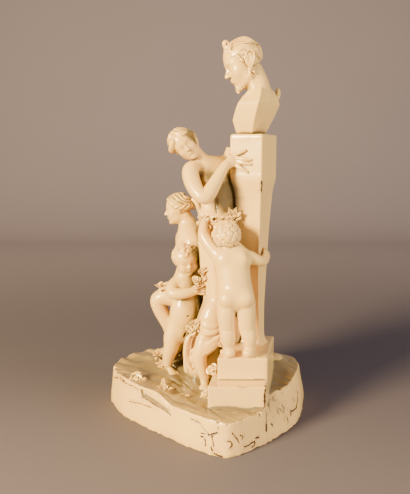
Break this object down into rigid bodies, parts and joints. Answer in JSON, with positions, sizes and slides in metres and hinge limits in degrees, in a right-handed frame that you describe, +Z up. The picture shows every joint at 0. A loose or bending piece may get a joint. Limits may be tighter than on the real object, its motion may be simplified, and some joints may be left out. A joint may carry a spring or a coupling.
{
  "type": "earthenware figure group",
  "caption": "Cream-glazed earthenware group of two women and two children round a tapering pillar that carries a bust, on a slab of modelled ground.",
  "frame": {"origin": "on the underside, at the middle of the slab's outline", "axes": "+Z up; -Y is the side the picture was taken from; +X is to the right of it"},
  "size_m": [0.28, 0.238, 0.5027],
  "materials": {
    "glazed_earthenware": "glossy cream glaze, yellower where it pools",
    "glazed_bust": "glossy cream glaze"
  },
  "bodies": {
    "root": {"figure_group": "glazed_earthenware", "herm_bust": "glazed_bust"}
  },
  "joints": []
}
